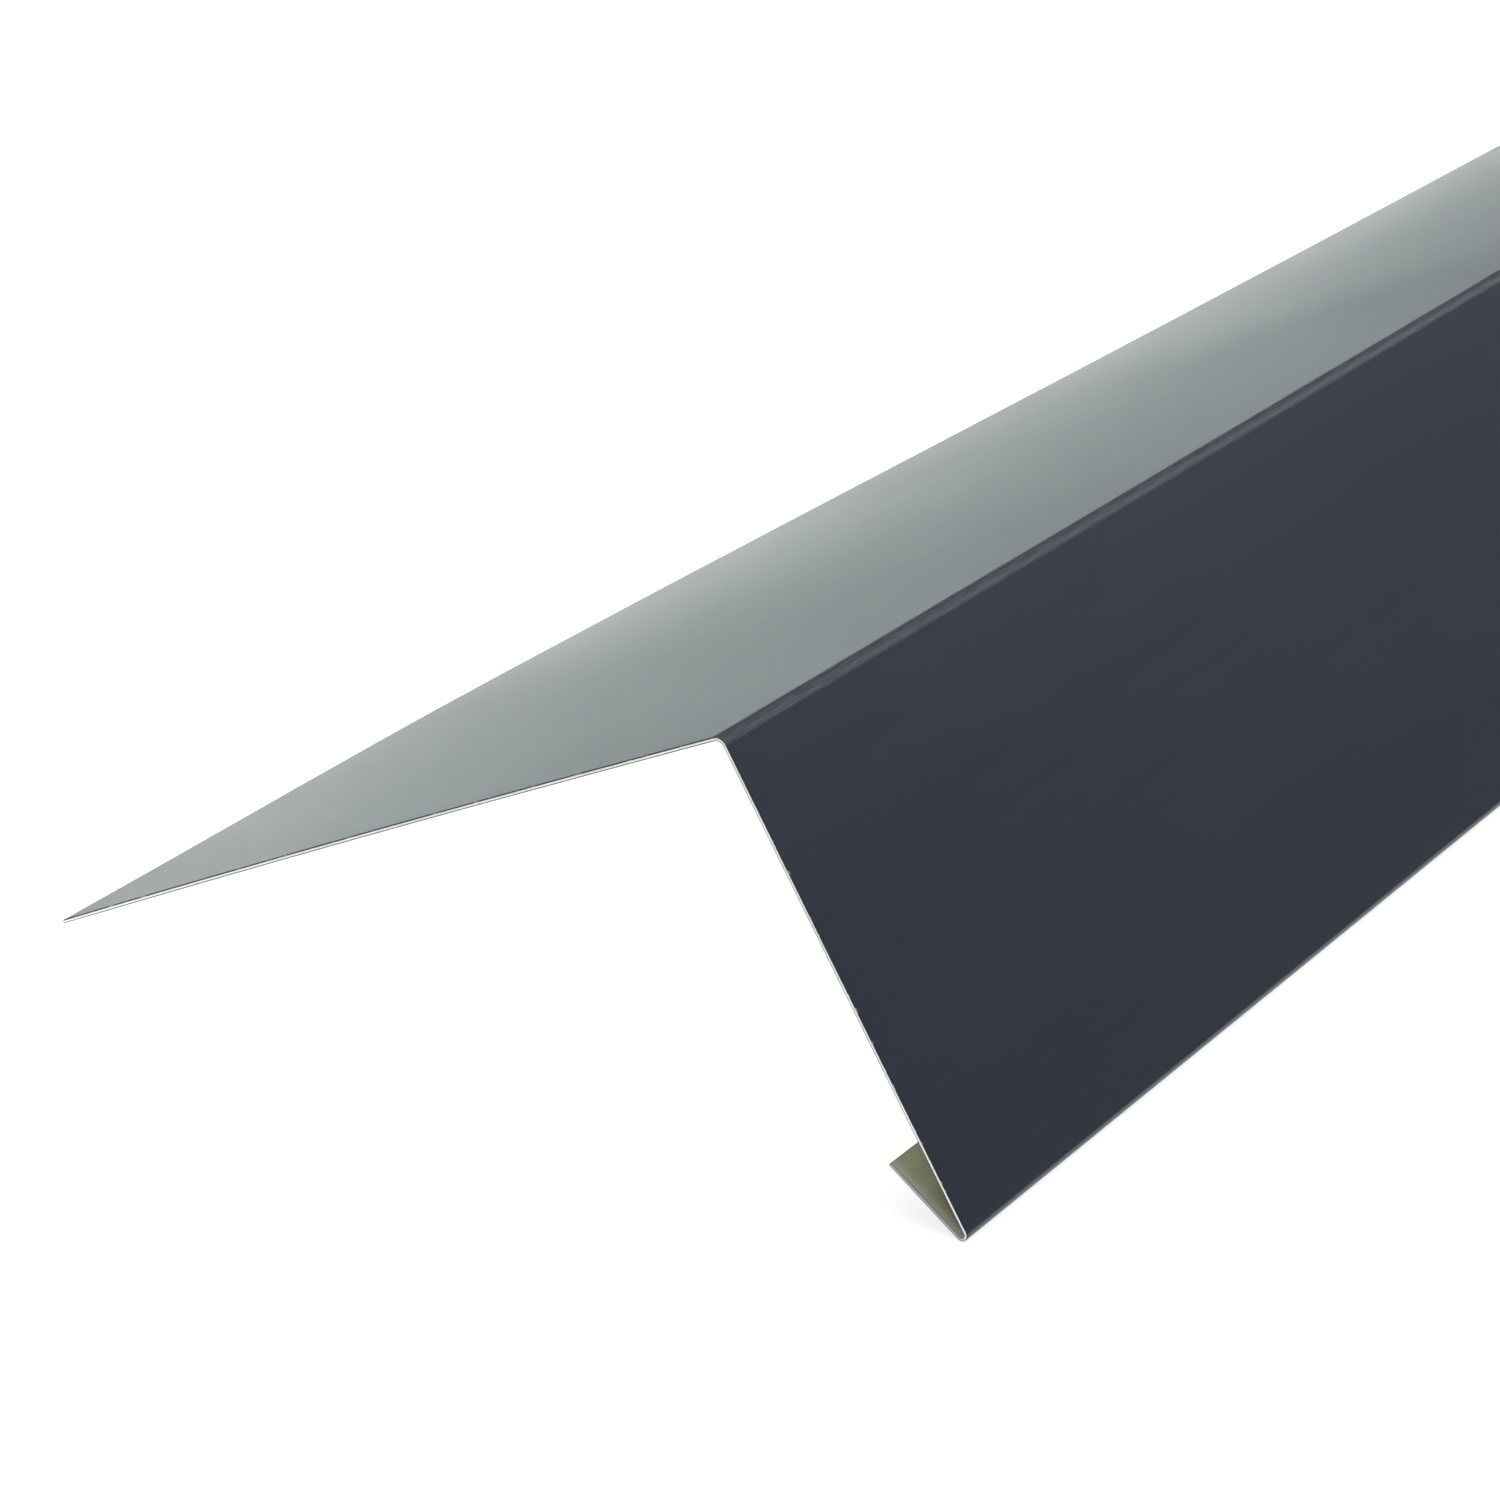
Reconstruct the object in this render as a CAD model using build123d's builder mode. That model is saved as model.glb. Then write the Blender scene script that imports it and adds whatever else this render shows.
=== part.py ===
from build123d import *
import os
from math import asin, atan2, cos, degrees, hypot, radians, sin, tan

# Eaves flashing: one strip of coated steel sheet, bent once along the eaves and hemmed along its drip edge.
# It stands as it rests on a level floor, like a low tent: on the flange's free edge and on the drip fold,
# with the eaves bend on top. X goes across the strip, from the flange to the leg, Y goes along it, Z goes up.
# The origin is on the floor, at the middle of the strip's length and width.

# Driving dimensions, in millimetres and degrees. Widths are measured on the outer, colour-coated face.
length = 2000.0  # sold length of the strip
flange_width = 100.0  # from the flange's free edge to the outer corner of the eaves bend
leg_height = 65.0  # from the outer corner of the eaves bend to the bottom of the drip fold
hem_width = 12.5  # from the bottom of the drip fold to the hem's cut edge
sheet_thickness = 0.5  # the steel with its coats
eaves_angle = 97.0  # between the flange and the leg, on the inside
hem_opening = 20.0  # between the back of the leg and the hem
bend_radius = 1.0  # inside the eaves bend
fold_radius = 0.3  # inside the drip fold

# The outer face as runs and bends, in the order in which the strip is folded.
bend_outer = bend_radius + sheet_thickness
fold_outer = fold_radius + sheet_thickness
bend_turn = 180.0 - eaves_angle
fold_turn = 180.0 - hem_opening
bend_setback = bend_outer * tan(radians(bend_turn / 2))
flange_run = flange_width - bend_setback
leg_run = leg_height - bend_setback - fold_outer
hem_run = hem_width - fold_outer

# The centre of the drip fold, seen from the upper corner of the flange's free edge, with the flange level.
leg_reach = leg_height - fold_outer
fold_across = flange_width + leg_reach * cos(radians(bend_turn)) - fold_outer * sin(radians(bend_turn))
fold_down = leg_reach * sin(radians(bend_turn)) + fold_outer * cos(radians(bend_turn))

# The floor passes through the lower corner of the free edge and touches the drip fold from below.
corner_to_fold = hypot(fold_across, fold_down - sheet_thickness)
fold_dip = atan2(fold_down - sheet_thickness, fold_across)
stand_tilt = fold_dip + asin(fold_outer / corner_to_fold)
edge_overhang = sheet_thickness * sin(stand_tilt)
edge_rise = sheet_thickness * cos(stand_tilt)
floor_span = (corner_to_fold**2 - fold_outer**2) ** 0.5
stand_width = edge_overhang + floor_span + fold_outer

# The plane of the section, with its origin at the upper corner of the free edge and its x along the flange.
section_plane = Plane(
    origin=(-stand_width / 2, 0, edge_rise),
    x_dir=(cos(stand_tilt), 0, sin(stand_tilt)),
    z_dir=(0, -1, 0),
)

with BuildPart() as eaves_flashing:
    with BuildSketch(section_plane):
        with BuildLine():
            flange = Line((0, 0), (flange_run, 0))
            eaves_bend = JernArc(flange @ 1, flange % 1, bend_outer, -bend_turn)
            leg = PolarLine(eaves_bend @ 1, leg_run, direction=eaves_bend % 1)
            drip_fold = JernArc(leg @ 1, leg % 1, fold_outer, -fold_turn)
            hem = PolarLine(drip_fold @ 1, hem_run, direction=drip_fold % 1)
            offset(amount=sheet_thickness, side=Side.RIGHT)
        make_face()
    extrude(amount=length / 2, both=True)

eaves_flashing.part.label = "eaves_flashing"

os.makedirs("parts", exist_ok=True)
export_step(eaves_flashing.part, "parts/eaves_flashing.step")

strip_width = flange_run + leg_run + hem_run
strip_width += radians(bend_turn) * (bend_radius + sheet_thickness / 2)
strip_width += radians(fold_turn) * (fold_radius + sheet_thickness / 2)
print(f"stands {stand_width:.2f} mm wide, flange tilted {degrees(stand_tilt):.2f} degrees")
print(f"cut from a strip {strip_width:.1f} mm wide")
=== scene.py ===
"""Eaves flashing: one strip of coated steel sheet, folded into flange, leg and hem, in a plain studio.

Everything is in metres, in the frame of the solid: X goes across the strip from the flange to the leg,
Y goes along it and Z goes up from the floor. The end that the camera looks into is the one at the lowest Y.
"""

import logging
from dataclasses import dataclass, field
from enum import Enum, IntEnum
from math import asin, atan2, cos, exp, hypot, pi, radians, sin, sqrt, tan

import bmesh
import bpy
from mathutils import Matrix, Vector


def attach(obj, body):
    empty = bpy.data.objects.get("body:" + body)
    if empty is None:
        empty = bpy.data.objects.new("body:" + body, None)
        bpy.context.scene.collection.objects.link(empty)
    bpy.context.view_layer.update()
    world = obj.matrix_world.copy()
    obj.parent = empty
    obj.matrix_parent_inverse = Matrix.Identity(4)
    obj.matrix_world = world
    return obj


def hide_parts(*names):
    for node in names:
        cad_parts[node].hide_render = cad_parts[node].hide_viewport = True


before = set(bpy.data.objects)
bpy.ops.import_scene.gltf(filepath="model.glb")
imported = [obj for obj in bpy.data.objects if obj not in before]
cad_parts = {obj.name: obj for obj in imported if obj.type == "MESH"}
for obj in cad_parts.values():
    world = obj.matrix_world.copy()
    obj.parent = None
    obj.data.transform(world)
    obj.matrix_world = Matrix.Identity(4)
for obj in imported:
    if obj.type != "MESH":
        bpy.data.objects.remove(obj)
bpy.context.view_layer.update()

MM = 0.001
SHEET_MAP = "sheet"

Colour = tuple[float, float, float]
Place = tuple[float, float, float]
Feed = bpy.types.NodeSocket | float | tuple[float, ...]

log = logging.getLogger("eaves_flashing")


class Side(IntEnum):
    """The surfaces of coated sheet, in the order of the mesh's material slots."""

    TOP = 0
    BACK = 1
    CUT = 2
    TORN = 3


class Bench:
    """One material's node tree, built up a node at a time."""

    noise_roughness: float = 0.55

    def __init__(self, name: str) -> None:
        """Start an empty material.

        Args:
            name: The material's name.
        """
        self.material = bpy.data.materials.new(name)
        self.material.use_nodes = True
        self.nodes = self.material.node_tree.nodes
        self.links = self.material.node_tree.links
        self.nodes.clear()

    def feed(self, socket: bpy.types.NodeSocket, value: Feed) -> None:
        """Join a socket to another one, or set its own value.

        Args:
            socket: The input to feed.
            value: An output to join it to, or a number, vector or colour to set it to.
        """
        if isinstance(value, bpy.types.NodeSocket):
            self.links.new(value, socket)
        elif socket.type == "RGBA":
            socket.default_value = (*value, 1.0)
        else:
            socket.default_value = value

    def node(self, kind: str, feeds: dict[str | int, Feed], **settings: object) -> bpy.types.Node:
        """Add a node.

        Args:
            kind: The node's type, without its ShaderNode prefix.
            feeds: What goes into each input, by the input's name or number.
            settings: The node's own properties.

        Returns:
            The new node.
        """
        made = self.nodes.new("ShaderNode" + kind)
        for name, value in settings.items():
            setattr(made, name, value)
        for key, value in feeds.items():
            self.feed(made.inputs[key], value)
        return made

    def sheet_map(self) -> bpy.types.NodeSocket:
        """The place on the flat sheet: across it, then along it, in metres."""
        return self.node("UVMap", {}, uv_map=SHEET_MAP).outputs[0]

    def place(self) -> bpy.types.NodeSocket:
        """The place on the folded strip, in metres."""
        return self.node("TexCoord", {}).outputs["Object"]

    def split(self, coordinates: Feed) -> tuple[bpy.types.NodeSocket, bpy.types.NodeSocket]:
        """The first two coordinates, apart."""
        parts = self.node("SeparateXYZ", {0: coordinates})
        return parts.outputs[0], parts.outputs[1]

    def math(self, operation: str, first: Feed, second: Feed = 0.0) -> bpy.types.NodeSocket:
        """The result of one sum on two numbers."""
        return self.node("Math", {0: first, 1: second}, operation=operation).outputs[0]

    def plus(self, base: Feed, value: Feed, times: float) -> bpy.types.NodeSocket:
        """A base with a multiple of another number added to it."""
        return self.node("Math", {0: value, 1: times, 2: base}, operation="MULTIPLY_ADD").outputs[0]

    def vary(self, middle: Feed, value: Feed, width: float) -> bpy.types.NodeSocket:
        """A number that strays over a width about its middle, as the value goes from 0 to 1."""
        return self.plus(middle, self.math("SUBTRACT", value, 0.5), times=width)

    def ramp(
        self, value: Feed, start: float, end: float, low: float = 0.0, high: float = 1.0
    ) -> bpy.types.NodeSocket:
        """A number that eases from low to high while the value goes from start to end."""
        feeds = {"Value": value, "From Min": start, "From Max": end, "To Min": low, "To Max": high}
        return self.node("MapRange", feeds, interpolation_type="SMOOTHSTEP").outputs[0]

    def blend(self, first: Feed, second: Feed, share: float) -> bpy.types.NodeSocket:
        """A number between two others, the second one at a share of 1."""
        return self.node("Mix", {0: share, 2: first, 3: second}, data_type="FLOAT").outputs[0]

    def mix(self, share: Feed, first: Feed, second: Feed) -> bpy.types.NodeSocket:
        """A colour between two others, the second one at a share of 1."""
        return self.node("Mix", {0: share, 6: first, 7: second}, data_type="RGBA").outputs[2]

    def stretched(self, coordinates: Feed, across: float, along: float) -> bpy.types.NodeSocket:
        """Places on the flat sheet, scaled apart across it and along it."""
        return self.node("Mapping", {"Vector": coordinates, "Scale": (across, along, 1.0)}).outputs[0]

    def noise(self, coordinates: Feed, scale: float = 1.0, detail: float = 2.0) -> bpy.types.NodeSocket:
        """Soft noise from 0 to 1, with that many features to the metre."""
        feeds = {"Vector": coordinates, "Scale": scale, "Detail": detail, "Roughness": self.noise_roughness}
        return self.node("TexNoise", feeds).outputs[0]

    def from_end(self, along: Feed, half_length: float) -> bpy.types.NodeSocket:
        """How far a place is from the strip's nearer end."""
        return self.math("SUBTRACT", half_length, self.math("ABSOLUTE", along))

    def bump(self, height: Feed, depth: float, normal: Feed | None = None) -> bpy.types.NodeSocket:
        """A normal that is tilted as by a relief.

        Args:
            height: The relief, from 0 to 1.
            depth: The relief's depth, in metres.
            normal: The normal to start from, or none for the mesh's own.

        Returns:
            The tilted normal.
        """
        feeds = {"Height": height, "Distance": depth, "Strength": 1.0}
        if normal is not None:
            feeds["Normal"] = normal
        return self.node("Bump", feeds).outputs[0]

    def finish(self, feeds: dict[str | int, Feed]) -> bpy.types.Material:
        """Close the tree with the surface shader.

        Args:
            feeds: What goes into each input of the shader.

        Returns:
            The finished material.
        """
        shader = self.node("BsdfPrincipled", feeds)
        self.node("OutputMaterial", {"Surface": shader.outputs[0]})
        return self.material


@dataclass(frozen=True)
class Section:
    """The folded section, its widths measured on the outer face, as a sheet-metal drawing gives them."""

    flange_width: float = 100.0 * MM
    leg_height: float = 65.0 * MM
    hem_width: float = 12.5 * MM
    sheet: float = 0.5 * MM
    bend_outer: float = 1.5 * MM
    fold_outer: float = 0.8 * MM
    bend_turn: float = radians(83.0)
    fold_turn: float = radians(160.0)

    @property
    def bend_setback(self) -> float:
        """How far the eaves bend starts before the corner that it rounds."""
        return self.bend_outer * tan(self.bend_turn / 2)

    @property
    def flange_run(self) -> float:
        """The flat of the flange."""
        return self.flange_width - self.bend_setback

    @property
    def leg_run(self) -> float:
        """The flat of the leg."""
        return self.leg_height - self.bend_setback - self.fold_outer

    @property
    def hem_run(self) -> float:
        """The flat of the hem."""
        return self.hem_width - self.fold_outer

    @property
    def leg_start(self) -> float:
        """Where the leg's flat starts, along the outer face from the flange's free edge."""
        return self.flange_run + self.bend_outer * self.bend_turn

    @property
    def fold_start(self) -> float:
        """Where the drip fold starts, along the outer face from the flange's free edge."""
        return self.leg_start + self.leg_run

    @property
    def fold_end(self) -> float:
        """Where the drip fold ends and the hem's flat starts."""
        return self.fold_start + self.fold_outer * self.fold_turn

    @property
    def girth(self) -> float:
        """The whole outer face, from the flange's free edge to the hem's."""
        return self.fold_end + self.hem_run

    def standing(self) -> Matrix:
        """The place of a section drawn with its flange level, once it rests on its free edge and its fold.

        Returns:
            The matrix from the drawing, with its origin at the free edge's upper corner, to the frame.
        """
        reach = self.leg_height - self.fold_outer
        across = self.flange_width + reach * cos(self.bend_turn) - self.fold_outer * sin(self.bend_turn)
        down = reach * sin(self.bend_turn) + self.fold_outer * cos(self.bend_turn) - self.sheet
        corner_to_fold = hypot(across, down)
        tilt = atan2(down, across) + asin(self.fold_outer / corner_to_fold)
        floor_span = sqrt(corner_to_fold**2 - self.fold_outer**2)
        width = self.sheet * sin(tilt) + floor_span + self.fold_outer
        place = Matrix.Translation((-width / 2, 0.0, self.sheet * cos(tilt)))
        return place @ Matrix.Rotation(-tilt, 4, "Y")


class SectionPen:
    """Draws the outer face of a section as one chain of edges, in runs and turns."""

    def __init__(self, bm: bmesh.types.BMesh, start: Vector) -> None:
        """Set the pen down, heading along X.

        Args:
            bm: The mesh to draw in.
            start: Where the pen is set down.
        """
        self.bm = bm
        self.tip = bmesh.ops.create_vert(bm, co=start)["vert"][0]
        self.heading = Vector((1.0, 0.0, 0.0))

    def run(self, length: float, parts: int) -> None:
        """Draw a straight run, in equal steps."""
        self.swing(self.tip.co, self.heading * (length / parts), 0.0, parts)

    def turn(self, radius: float, angle: float, parts: int) -> None:
        """Draw a bend to the right, which is downwards from a level run.

        Args:
            radius: The bend's radius.
            angle: How far it turns.
            parts: The number of steps.
        """
        inwards = Vector((self.heading.z, 0.0, -self.heading.x))
        self.swing(self.tip.co + inwards * radius, Vector(), angle, parts)
        self.heading = Matrix.Rotation(angle, 3, "Y") @ self.heading

    def swing(self, centre: Vector, step: Vector, angle: float, parts: int) -> None:
        """Move the tip about a centre or by steps, drawing an edge at each step.

        Args:
            centre: The middle of the bend.
            step: How far the tip moves at each step, beside turning.
            angle: How far it turns in all.
            parts: The number of steps.
        """
        drawn = bmesh.ops.spin(
            self.bm,
            geom=[self.tip],
            cent=centre,
            axis=(0.0, 1.0, 0.0),
            dvec=step,
            angle=angle,
            steps=parts,
            use_duplicate=False,
        )
        self.tip = next(item for item in drawn["geom_last"] if isinstance(item, bmesh.types.BMVert))


def bow(share: float) -> float:
    """A bow that is 1 at the middle of a width and 0 at its two sides."""
    return 4.0 * share * (1.0 - share)


def swell(along: float, wave_length: float) -> float:
    """A slow wave between 0 and 1."""
    return (1.0 - cos(2.0 * pi * along / wave_length)) / 2.0


@dataclass(frozen=True)
class SheetRelief:
    """How thin sheet strays from its drawing: a crowned flange, a humped free edge, slow waves."""

    hump: float = 2.2 * MM
    hump_at: float = 108.0 * MM
    hump_to_end: float = 98.0 * MM
    hump_to_middle: float = 190.0 * MM
    crown: float = 0.45 * MM
    edge_wave: float = 0.2 * MM
    edge_wave_length: float = 430.0 * MM
    edge_pull: float = 1.5
    leg_wave: float = 0.10 * MM
    leg_wave_length: float = 310.0 * MM

    def flange_rise(self, share: float, along: float, half_length: float) -> float:
        """How far a point of the flange stands above the drawing.

        Args:
            share: 1 at the free edge, 0 at the eaves bend.
            along: The point's place along the strip, 0 at its middle.
            half_length: Half of the strip's length.

        Returns:
            The rise, in metres.
        """
        past_hump = half_length - abs(along) - self.hump_at
        spread = self.hump_to_middle if past_hump > 0.0 else self.hump_to_end
        lift = self.hump * exp(-((past_hump / spread) ** 2))
        wave = self.edge_wave * swell(along, self.edge_wave_length)
        return (lift + wave) * share**self.edge_pull + self.crown * bow(share)

    def leg_swell(self, share: float, along: float) -> float:
        """How far a point of the leg stands inside the drawing, for its share from bend to fold."""
        return self.leg_wave * bow(share) * swell(along, self.leg_wave_length)


@dataclass(frozen=True)
class TopCoat:
    """The satin colour coat on the outer face, with its grain, its stretched bend with a painted highlight,
    and its nicked edges.
    """

    colour: Colour = (0.027, 0.036, 0.059)
    light_colour: Colour = (0.032, 0.042, 0.067)
    # The stretched bend's colour: the stretched, crazed coat, lightened into a painted highlight along the
    # bend.
    stretched_and_highlight_colour: Colour = (0.098, 0.120, 0.146)
    bare_colour: Colour = (0.36, 0.37, 0.37)
    roughness: float = 0.36
    smudging: float = 0.06
    streaking: float = 0.03
    bend_roughening: float = 0.16
    least_nick: float = 0.01 * MM
    deepest_nick: float = 0.30 * MM
    ripple_depth: float = 0.013 * MM
    peel_depth: float = 0.004 * MM
    refraction: float = 1.5

    def material(self, section: Section, half_length: float) -> bpy.types.Material:
        """Make the coat.

        Args:
            section: The section that the coat lies on.
            half_length: Half of the strip's length.

        Returns:
            The material.
        """
        bench = Bench("top_coat")
        sheet = bench.sheet_map()
        place = bench.place()
        across, along = bench.split(sheet)

        streaks = bench.noise(bench.stretched(sheet, across=260.0, along=1.6))
        clouds = bench.noise(place, scale=22.0, detail=3.0)
        tone = bench.blend(clouds, streaks, share=0.6)
        colour = bench.mix(bench.ramp(tone, start=0.3, end=0.7), self.colour, self.light_colour)

        # The bend is painted lighter: partly the stretched, crazed coat, partly a painted highlight.
        bend_middle = (section.flange_run + section.leg_start) / 2.0
        bend_half = (section.leg_start - section.flange_run) / 2.0
        from_bend = bench.math("ABSOLUTE", bench.math("SUBTRACT", across, bend_middle))
        bend = bench.ramp(from_bend, start=bend_half * 0.8, end=bend_half * 1.2, low=1.0, high=0.0)
        crazing = bench.noise(bench.stretched(sheet, across=5200.0, along=160.0), detail=3.0)
        crazed_highlight = bench.ramp(crazing, start=0.35, end=0.65, low=0.3)
        colour = bench.mix(bench.math("MULTIPLY", bend, crazed_highlight), colour, self.stretched_and_highlight_colour)

        from_long_edge = bench.math("MINIMUM", across, bench.math("SUBTRACT", section.girth, across))
        from_edge = bench.math("MINIMUM", from_long_edge, bench.from_end(along, half_length))
        nicks = bench.noise(place, scale=900.0, detail=4.0)
        reach = bench.ramp(nicks, start=0.55, end=0.78, low=self.least_nick, high=self.deepest_nick)
        bare = bench.ramp(bench.math("DIVIDE", from_edge, reach), start=0.8, end=1.2, low=0.85, high=0.0)
        colour = bench.mix(bare, colour, self.bare_colour)

        smudges = bench.noise(place, scale=9.0, detail=4.0)
        roughness = bench.vary(self.roughness, smudges, width=self.smudging)
        roughness = bench.vary(roughness, streaks, width=self.streaking)
        roughness = bench.plus(roughness, bend, times=self.bend_roughening)

        ripple = bench.noise(bench.stretched(sheet, across=45.0, along=3.0))
        peel = bench.noise(place, scale=620.0)
        rippled = bench.bump(ripple, self.ripple_depth)
        normal = bench.bump(peel, self.peel_depth, rippled)
        feeds = {"Base Color": colour, "Roughness": roughness, "Normal": normal, "IOR": self.refraction}
        return bench.finish(feeds)


@dataclass(frozen=True)
class BackCoat:
    """The thin olive-grey wash on the inner face, rolled on unevenly and scuffed along the strip."""

    colour: Colour = (0.43, 0.44, 0.31)
    pale_colour: Colour = (0.53, 0.53, 0.42)
    scuff_colour: Colour = (0.60, 0.60, 0.55)
    roughness: float = 0.47
    unevenness: float = 0.12
    rub_start: float = 0.2 * MM
    rub_end: float = 2.2 * MM
    roller_depth: float = 0.010 * MM
    grain_depth: float = 0.006 * MM
    refraction: float = 1.5

    def material(self, half_length: float) -> bpy.types.Material:
        """Make the coat, rubbed grey near the strip's two ends.

        Args:
            half_length: Half of the strip's length.

        Returns:
            The material.
        """
        bench = Bench("back_coat")
        sheet = bench.sheet_map()
        place = bench.place()
        along = bench.split(sheet)[1]

        streaks = bench.noise(bench.stretched(sheet, across=420.0, along=2.2), detail=3.0)
        clouds = bench.noise(place, scale=30.0, detail=4.0)
        tone = bench.blend(clouds, streaks, share=0.5)
        colour = bench.mix(bench.ramp(tone, start=0.32, end=0.68), self.colour, self.pale_colour)
        scuffs = bench.noise(bench.stretched(sheet, across=1500.0, along=9.0), detail=4.0)
        colour = bench.mix(bench.ramp(scuffs, start=0.66, end=0.78, high=0.6), colour, self.scuff_colour)

        from_end = bench.from_end(along, half_length)
        near_end = bench.ramp(from_end, start=self.rub_start, end=self.rub_end, low=1.0, high=0.0)
        patches = bench.ramp(clouds, start=0.2, end=0.6, low=0.5)
        colour = bench.mix(bench.math("MULTIPLY", near_end, patches), colour, self.scuff_colour)

        roughness = bench.vary(self.roughness, tone, width=self.unevenness)
        rolled = bench.bump(streaks, self.roller_depth)
        normal = bench.bump(bench.noise(place, scale=900.0), self.grain_depth, rolled)
        feeds = {"Base Color": colour, "Roughness": roughness, "Normal": normal, "IOR": self.refraction}
        return bench.finish(feeds)


@dataclass(frozen=True)
class CutEdge:
    """The bright band that the shears burnish: zinc and steel, greyed over the fold and hem."""

    colour: Colour = (0.84, 0.84, 0.83)
    dull_colour: Colour = (0.66, 0.66, 0.65)
    hem_colour: Colour = (0.32, 0.32, 0.31)
    hem_share: float = 0.9
    roughness: float = 0.42
    unevenness: float = 0.16
    score_depth: float = 0.012 * MM
    metal: float = 1.0

    def material(self, section: Section) -> bpy.types.Material:
        """Make the metal.

        Args:
            section: The section that was cut.

        Returns:
            The material.
        """
        bench = Bench("cut_edge")
        place = bench.place()
        across = bench.split(bench.sheet_map())[0]
        scores = bench.noise(place, scale=2600.0, detail=3.0)
        clouds = bench.noise(place, scale=120.0, detail=3.0)
        tone = bench.blend(clouds, scores, share=0.5)
        colour = bench.mix(bench.ramp(tone, start=0.35, end=0.65), self.dull_colour, self.colour)
        hem = bench.ramp(across, start=section.fold_start, end=section.fold_end, high=self.hem_share)
        colour = bench.mix(hem, colour, self.hem_colour)
        roughness = bench.vary(self.roughness, scores, width=self.unevenness)
        normal = bench.bump(scores, self.score_depth)
        feeds = {"Base Color": colour, "Metallic": self.metal, "Roughness": roughness, "Normal": normal}
        return bench.finish(feeds)


@dataclass(frozen=True)
class TornEdge:
    """The rough lip under the burnished band, where the sheet broke away: dark metal with painted shade,
    pale at the hem.
    """

    # Colour: the broken metal, painted darker as the shade under the burnished band.
    colour: Colour = (0.045, 0.045, 0.045)
    pale_colour: Colour = (0.10, 0.10, 0.095)
    hem_colour: Colour = (0.32, 0.32, 0.30)
    hem_share: float = 0.9
    roughness: float = 0.7
    unevenness: float = 0.2
    tear_depth: float = 0.020 * MM
    metal: float = 0.5

    def material(self, section: Section) -> bpy.types.Material:
        """Make the metal.

        Args:
            section: The section that was cut.

        Returns:
            The material.
        """
        bench = Bench("torn_edge")
        across = bench.split(bench.sheet_map())[0]
        tears = bench.noise(bench.place(), scale=1800.0, detail=4.0)
        colour = bench.mix(bench.ramp(tears, start=0.35, end=0.7), self.colour, self.pale_colour)
        hem = bench.ramp(across, start=section.fold_start, end=section.fold_end, high=self.hem_share)
        colour = bench.mix(hem, colour, self.hem_colour)
        roughness = bench.vary(self.roughness, tears, width=self.unevenness)
        normal = bench.bump(tears, self.tear_depth)
        feeds = {"Base Color": colour, "Metallic": self.metal, "Roughness": roughness, "Normal": normal}
        return bench.finish(feeds)


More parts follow.
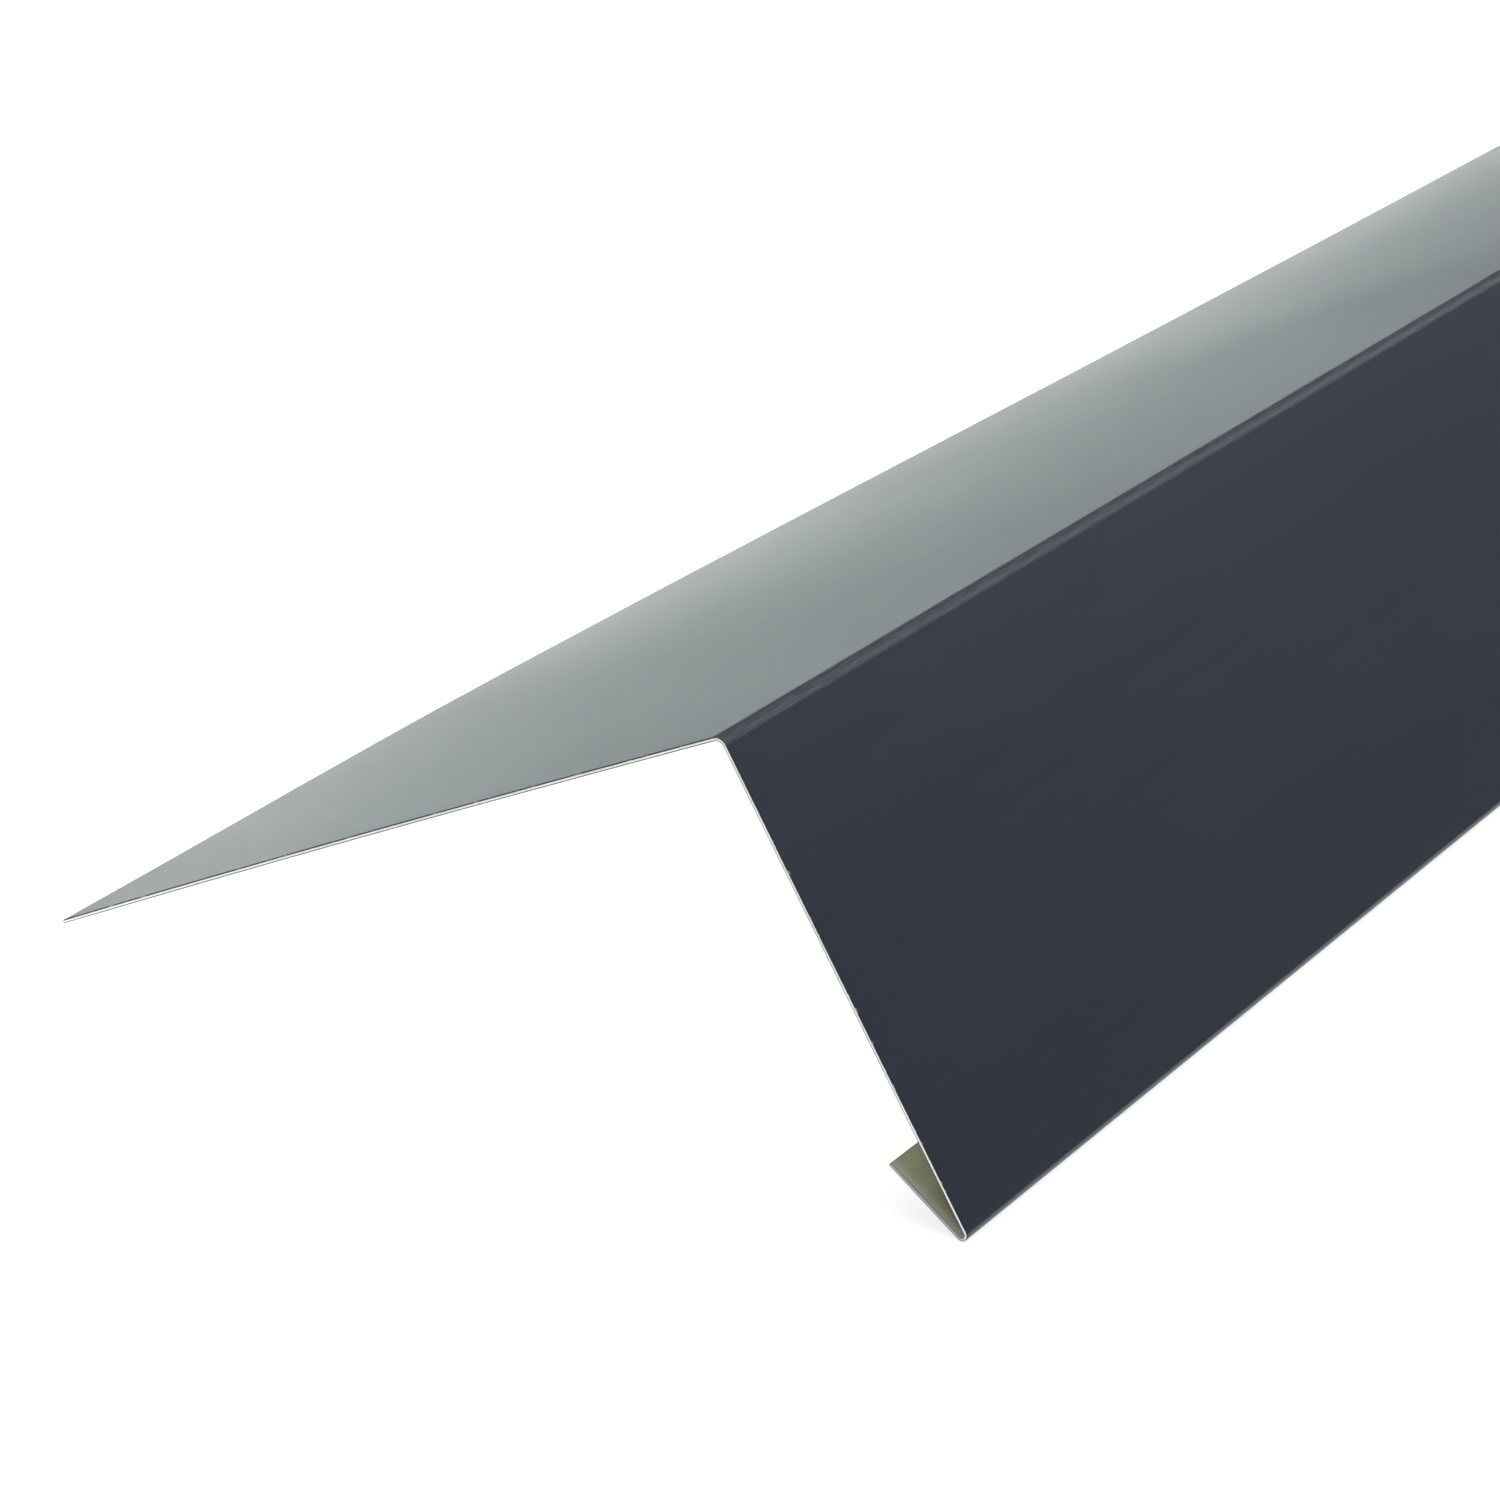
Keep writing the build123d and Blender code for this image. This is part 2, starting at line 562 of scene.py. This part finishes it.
@dataclass
class EavesFlashing:
    """The whole strip: flange, eaves bend, leg, drip fold and hem, folded from one piece of sheet.

    A guard is a narrow row of faces beside each bend and each end, which keeps the flats' shading flat.
    """

    section: Section = field(default_factory=Section)
    relief: SheetRelief = field(default_factory=SheetRelief)
    top_coat: TopCoat = field(default_factory=TopCoat)
    back_coat: BackCoat = field(default_factory=BackCoat)
    cut_edge: CutEdge = field(default_factory=CutEdge)
    torn_edge: TornEdge = field(default_factory=TornEdge)
    length: float = 2000.0 * MM
    end_stretch: float = 360.0 * MM
    flange_parts: int = 26
    bend_parts: int = 16
    leg_parts: int = 16
    fold_parts: int = 18
    hem_parts: int = 5
    end_parts: int = 60
    middle_parts: int = 60
    guard: float = 0.25 * MM
    roll_over: float = 0.15 * MM
    torn_lip: float = 0.14 * MM
    round_parts: int = 3

    @property
    def half_length(self) -> float:
        """Half of the strip's length."""
        return self.length / 2.0

    def build(self) -> bpy.types.Object:
        """Fold the strip.

        Returns:
            The finished piece, dressed and in its place.
        """
        bm = bmesh.new()
        self.draw_section(bm)
        self.sweep(bm)
        self.relax(bm)
        self.thicken(bm)
        self.ease_edges(bm)
        self.map_sheet(bm)
        mesh = bpy.data.meshes.new("folded_strip")
        bm.to_mesh(mesh)
        bm.free()
        piece = bpy.data.objects.new("folded_strip", mesh)
        bpy.context.scene.collection.objects.link(piece)
        self.dress(piece)
        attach(piece, "root")
        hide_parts("eaves_flashing")
        return piece

    def draw_section(self, bm: bmesh.types.BMesh) -> None:
        """Draw the outer face at the near end, and write at each vertex how far it is from the free edge.

        Args:
            bm: The empty mesh to draw in.
        """
        section = self.section
        across = bm.verts.layers.float.new("across")
        pen = SectionPen(bm, Vector((0.0, -self.half_length, 0.0)))
        vertex = pen.tip
        self.draw_flat(pen, section.flange_run, self.flange_parts)
        pen.turn(section.bend_outer, section.bend_turn, self.bend_parts)
        self.draw_flat(pen, section.leg_run, self.leg_parts)
        pen.turn(section.fold_outer, section.fold_turn, self.fold_parts)
        self.draw_flat(pen, section.hem_run, self.hem_parts)

        passed, edge = 0.0, None
        while vertex is not pen.tip:
            edge = next(link for link in vertex.link_edges if link is not edge)
            passed += edge.calc_length()
            vertex = edge.other_vert(vertex)
            vertex[across] = passed
        bmesh.ops.transform(bm, matrix=section.standing(), verts=bm.verts)

    def draw_flat(self, pen: SectionPen, run: float, parts: int) -> None:
        """Draw one flat of the section, with a guard at each side.

        Args:
            pen: The pen, at the start of the flat.
            run: The flat's width.
            parts: The number of steps between the guards.
        """
        pen.run(self.guard, 1)
        pen.run(run - 2.0 * self.guard, parts)
        pen.run(self.guard, 1)

    def sweep(self, bm: bmesh.types.BMesh) -> None:
        """Draw the section out to the strip's length, in shorter steps near its two ends.

        Args:
            bm: The mesh, with the section drawn at the near end.
        """
        guard = (self.guard, 1)
        end = (self.end_stretch, self.end_parts)
        middle = (self.length - 2.0 * (self.end_stretch + self.guard), self.middle_parts)
        edge_line = [*bm.verts, *bm.edges]
        for stretch, parts in (guard, end, middle, end, guard):
            drawn = bmesh.ops.spin(
                bm,
                geom=edge_line,
                cent=(0.0, 0.0, 0.0),
                axis=(0.0, 1.0, 0.0),
                dvec=(0.0, stretch / parts, 0.0),
                angle=0.0,
                steps=parts,
                use_duplicate=False,
            )
            edge_line = drawn["geom_last"]
        bmesh.ops.recalc_face_normals(bm, faces=bm.faces)

    def relax(self, bm: bmesh.types.BMesh) -> None:
        """Let the sheet stray from its drawing: the flange lifts and crowns, the leg draws in a little.

        Args:
            bm: The mesh of the outer face.
        """
        section = self.section
        across = bm.verts.layers.float["across"]
        turned = Matrix.Rotation(section.bend_turn, 3, "Y")
        leg_inwards = section.standing().to_3x3() @ turned @ Vector((0.0, 0.0, -1.0))
        for vertex in bm.verts:
            passed = vertex[across]
            if passed < section.flange_run:
                share = 1.0 - passed / section.flange_run
                vertex.co.z += self.relief.flange_rise(share, vertex.co.y, self.half_length)
            elif section.leg_start < passed < section.fold_start:
                share = (passed - section.leg_start) / section.leg_run
                vertex.co += leg_inwards * self.relief.leg_swell(share, vertex.co.y)
        bm.normal_update()

    def thicken(self, bm: bmesh.types.BMesh) -> None:
        """Give the sheet its thickness, inwards, and mark each face by its side of the sheet.

        Args:
            bm: The mesh of the outer face.
        """
        outer = list(bm.faces)
        made = bmesh.ops.solidify(bm, geom=outer, thickness=self.section.sheet)
        inner = [item for item in made["geom"] if isinstance(item, bmesh.types.BMFace)]
        for face in bm.faces:
            face.material_index = Side.CUT
        for face in outer:
            face.material_index = Side.TOP
        for face in inner:
            face.material_index = Side.BACK

    def ease_edges(self, bm: bmesh.types.BMesh) -> None:
        """Roll the top coat over the cut's outer corners and tear its inner ones, as shears do.

        Args:
            bm: The mesh of the whole sheet, with its faces marked.
        """
        corner_kinds = ((Side.TOP, Side.TOP, self.roll_over), (Side.BACK, Side.TORN, self.torn_lip))
        for face_side, new_side, radius in corner_kinds:
            corners = [edge for edge in bm.edges if self.sides_of(edge) == {face_side, Side.CUT}]
            rounded = bmesh.ops.bevel(
                bm,
                geom=corners,
                offset=radius,
                offset_type="OFFSET",
                affect="EDGES",
                segments=self.round_parts,
                profile=0.5,
                material=-1,
            )
            for face in rounded["faces"]:
                face.material_index = new_side
        for face in bm.faces:
            face.smooth = True
        for edge in bm.edges:
            edge.smooth = len(self.sides_of(edge)) == 1

    @staticmethod
    def sides_of(edge: bmesh.types.BMEdge) -> set[int]:
        """The sides of the sheet that meet at an edge."""
        return {face.material_index for face in edge.link_faces}

    def map_sheet(self, bm: bmesh.types.BMesh) -> None:
        """Map the sheet as it was before folding: across it from the free edge, along it from its middle.

        Args:
            bm: The finished mesh.
        """
        across = bm.verts.layers.float["across"]
        sheet_map = bm.loops.layers.uv.new(SHEET_MAP)
        for face in bm.faces:
            for loop in face.loops:
                loop[sheet_map].uv = (loop.vert[across], loop.vert.co.y)

    def dress(self, piece: bpy.types.Object) -> None:
        """Put the four finishes in their slots, in the order of the sides.

        Args:
            piece: The piece to dress.
        """
        piece.data.materials.append(self.top_coat.material(self.section, self.half_length))
        piece.data.materials.append(self.back_coat.material(self.half_length))
        piece.data.materials.append(self.cut_edge.material(self.section))
        piece.data.materials.append(self.torn_edge.material(self.section))


class Reach(Enum):
    """What a light falls on, and whether the strip shades the floor from it."""

    EVERYTHING = "everything"
    STRIP = "strip"
    FLOOR = "floor"
    FLOOR_UNSHADED = "floor_unshaded"


@dataclass(frozen=True)
class SoftLight:
    """A rectangular soft light, which lights the scene but isn't seen itself."""

    name: str
    stands_at: Place
    aims_at: Place
    width: float
    height: float
    watts: float
    colour: Colour = (1.0, 1.0, 1.0)
    reach: Reach = Reach.STRIP

    def place(self) -> bpy.types.Object:
        """Hang the light and turn it to what it lights.

        Returns:
            The light's object.
        """
        lamp = bpy.data.lights.new(self.name, "AREA")
        lamp.shape = "RECTANGLE"
        lamp.size = self.width
        lamp.size_y = self.height
        lamp.energy = self.watts
        lamp.color = self.colour
        holder = bpy.data.objects.new(self.name, lamp)
        holder.location = self.stands_at
        ray = Vector(self.aims_at) - Vector(self.stands_at)
        holder.rotation_euler = ray.to_track_quat("-Z", "Y").to_euler()
        holder.visible_camera = False
        bpy.context.scene.collection.objects.link(holder)
        return holder


@dataclass(frozen=True)
class SkyLight:
    """A wide, even light from straight above, the same all over the floor."""

    name: str
    strength: float
    colour: Colour = (1.0, 1.0, 1.0)
    reach: Reach = Reach.EVERYTHING
    spread: float = radians(80.0)

    def place(self) -> bpy.types.Object:
        """Hang the light.

        Returns:
            The light's object.
        """
        lamp = bpy.data.lights.new(self.name, "SUN")
        lamp.energy = self.strength
        lamp.color = self.colour
        lamp.angle = self.spread
        holder = bpy.data.objects.new(self.name, lamp)
        bpy.context.scene.collection.objects.link(holder)
        return holder


@dataclass
class Studio:
    """A plain pale floor, washed white, under an even overhead light, with soft lights round the strip.

    The three pools are narrow lights for the part of the floor that the flange mirrors.
    """

    floor_half: float = 40.0
    floor_drop: float = 0.05 * MM
    floor_colour: Colour = (0.80, 0.80, 0.80)
    floor_roughness: float = 0.9
    surround_colour: Colour = (0.05, 0.05, 0.05)
    seen_colour: Colour = (1.0, 1.0, 1.0)
    lights: tuple[SoftLight | SkyLight, ...] = (
        SkyLight("overhead", strength=1.0),
        SkyLight("floor_wash", strength=3.15, colour=(0.98, 0.99, 1.0), reach=Reach.FLOOR_UNSHADED),
        SoftLight(
            "front_fill",
            stands_at=(0.15, -3.2, 1.0),
            aims_at=(0.0, -0.95, 0.02),
            width=2.2,
            height=1.4,
            watts=22.0,
        ),
        SoftLight(
            "back_light",
            stands_at=(0.55, 1.6, 1.1),
            aims_at=(0.0, -0.8, 0.05),
            width=1.0,
            height=0.5,
            watts=5.9,
            colour=(0.80, 0.90, 1.0),
        ),
        SoftLight(
            "wide_back_light",
            stands_at=(-0.21, 1.79, 1.37),
            aims_at=(0.0, -0.95, 0.05),
            width=2.8,
            height=1.05,
            watts=5.6,
        ),
        SoftLight(
            "edge_pool",
            stands_at=(-0.085, 0.32, 0.065),
            aims_at=(-0.06, 0.32, 0.0),
            width=2.6,
            height=0.02,
            watts=1.92,
            colour=(0.96, 1.0, 0.95),
            reach=Reach.FLOOR,
        ),
        SoftLight(
            "far_pool",
            stands_at=(-0.10, 0.55, 0.08),
            aims_at=(-0.085, 0.55, 0.0),
            width=2.3,
            height=0.02,
            watts=0.6,
            colour=(0.97, 1.0, 0.97),
            reach=Reach.FLOOR,
        ),
        SoftLight(
            "side_pool",
            stands_at=(-0.27, 0.32, 0.12),
            aims_at=(-0.24, 0.32, 0.0),
            width=2.6,
            height=0.02,
            watts=0.95,
            colour=(0.05, 1.0, 0.75),
            reach=Reach.FLOOR,
        ),
    )

    def build(self, strip: bpy.types.Object) -> list[str]:
        """Set up the floor, the surround and the lights.

        Args:
            strip: The piece that stands on the floor.

        Returns:
            The names of what was set up.
        """
        floor = self.lay_floor()
        self.paint_surround()
        floor_alone = bpy.data.collections.new("floor_alone")
        floor_alone.objects.link(floor)
        strip_alone = bpy.data.collections.new("strip_alone")
        strip_alone.objects.link(strip)
        names = [floor.name]
        for light in self.lights:
            holder = light.place()
            if light.reach is Reach.STRIP:
                holder.light_linking.receiver_collection = strip_alone
            elif light.reach is not Reach.EVERYTHING:
                holder.light_linking.receiver_collection = floor_alone
            if light.reach is Reach.FLOOR_UNSHADED:
                holder.light_linking.blocker_collection = floor_alone
                holder.data.cycles.use_multiple_importance_sampling = False
            names.append(holder.name)
        return names

    def lay_floor(self) -> bpy.types.Object:
        """Lay the floor just under the strip.

        Returns:
            The floor's object.
        """
        bm = bmesh.new()
        bmesh.ops.create_grid(bm, x_segments=1, y_segments=1, size=self.floor_half)
        bmesh.ops.translate(bm, verts=bm.verts, vec=(0.0, 0.0, -self.floor_drop))
        mesh = bpy.data.meshes.new("floor")
        bm.to_mesh(mesh)
        bm.free()
        bench = Bench("pale_floor")
        feeds = {
            "Base Color": self.floor_colour,
            "Roughness": self.floor_roughness,
            "Specular IOR Level": 0.0,
        }
        mesh.materials.append(bench.finish(feeds))
        floor = bpy.data.objects.new("floor", mesh)
        bpy.context.scene.collection.objects.link(floor)
        return floor

    def paint_surround(self) -> None:
        """Paint a dim surround for the light and the reflections, seen as white where the floor ends."""
        world = bpy.data.worlds.new("surround")
        world.use_nodes = True
        nodes, links = world.node_tree.nodes, world.node_tree.links
        nodes.clear()
        dim = nodes.new("ShaderNodeBackground")
        dim.inputs["Color"].default_value = (*self.surround_colour, 1.0)
        white = nodes.new("ShaderNodeBackground")
        white.inputs["Color"].default_value = (*self.seen_colour, 1.0)
        seen = nodes.new("ShaderNodeLightPath")
        either = nodes.new("ShaderNodeMixShader")
        output = nodes.new("ShaderNodeOutputWorld")
        links.new(seen.outputs["Is Camera Ray"], either.inputs[0])
        links.new(dim.outputs[0], either.inputs[1])
        links.new(white.outputs[0], either.inputs[2])
        links.new(either.outputs[0], output.inputs["Surface"])
        bpy.context.scene.world = world


@dataclass(frozen=True)
class PhotoCamera:
    """The camera, low beside the near end and tilted a little, as the photograph was taken."""

    eye: Place = (286.66 * MM, -1565.17 * MM, 300.76 * MM)
    swing: float = radians(24.685)
    dip: float = radians(21.863)
    roll: float = radians(7.831)
    lens: float = 140.34
    sensor: float = 36.0
    nearest: float = 0.01
    farthest: float = 200.0

    def place(self) -> bpy.types.Object:
        """Set the camera up and make it the scene's own.

        Returns:
            The camera's object.
        """
        body = bpy.data.cameras.new("photo_camera")
        body.sensor_fit = "HORIZONTAL"
        body.sensor_width = self.sensor
        body.lens = self.lens
        body.clip_start = self.nearest
        body.clip_end = self.farthest
        camera = bpy.data.objects.new("photo_camera", body)
        turned = Matrix.Rotation(self.swing, 4, "Z") @ Matrix.Rotation(pi / 2.0 - self.dip, 4, "X")
        camera.matrix_world = Matrix.Translation(self.eye) @ turned @ Matrix.Rotation(self.roll, 4, "Z")
        bpy.context.scene.collection.objects.link(camera)
        bpy.context.scene.camera = camera
        return camera


def main() -> None:
    """Build the part, the studio and the camera, in that order."""
    logging.basicConfig(level=logging.INFO, format="%(name)s: %(message)s")
    scene = bpy.context.scene
    scene.view_settings.view_transform = "Standard"
    piece = EavesFlashing().build()
    log.info("%s: %d faces", piece.name, len(piece.data.polygons))
    for name in Studio().build(piece):
        log.info("studio: %s", name)
    log.info("camera: %s", PhotoCamera().place().name)


if __name__ == "__main__":
    main()
